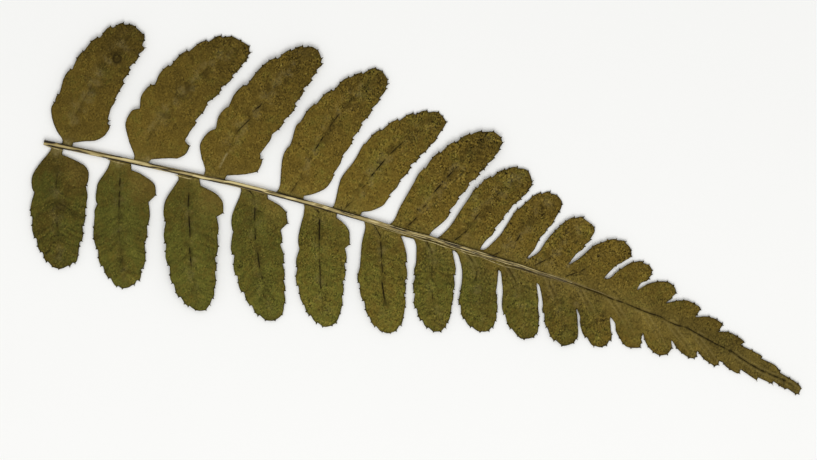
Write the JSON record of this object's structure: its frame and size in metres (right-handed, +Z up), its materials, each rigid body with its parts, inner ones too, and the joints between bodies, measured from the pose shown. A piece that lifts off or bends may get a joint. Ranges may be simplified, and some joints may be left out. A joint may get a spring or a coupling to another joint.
{
  "type": "pressed fern frond",
  "caption": "Dried, pressed fern frond lying flat: toothed oblong leaflets on both sides of a thin grooved stalk, fused towards the tip.",
  "frame": {"origin": "on the ground under the middle of the frond's outline", "axes": "+X from the cut end of the stalk towards the tip, +Y towards the longer leaflets, +Z up from the ground through the frond's upper face"},
  "size_m": [0.16, 0.0582, 0.0024],
  "materials": {
    "leaf": "matte dry olive-brown leaf with a fine grain and darker margins",
    "stalk": "satin straw-coloured dry stalk with fine lengthwise ridges"
  },
  "bodies": {
    "root": {"frond": "leaf"}
  },
  "joints": []
}
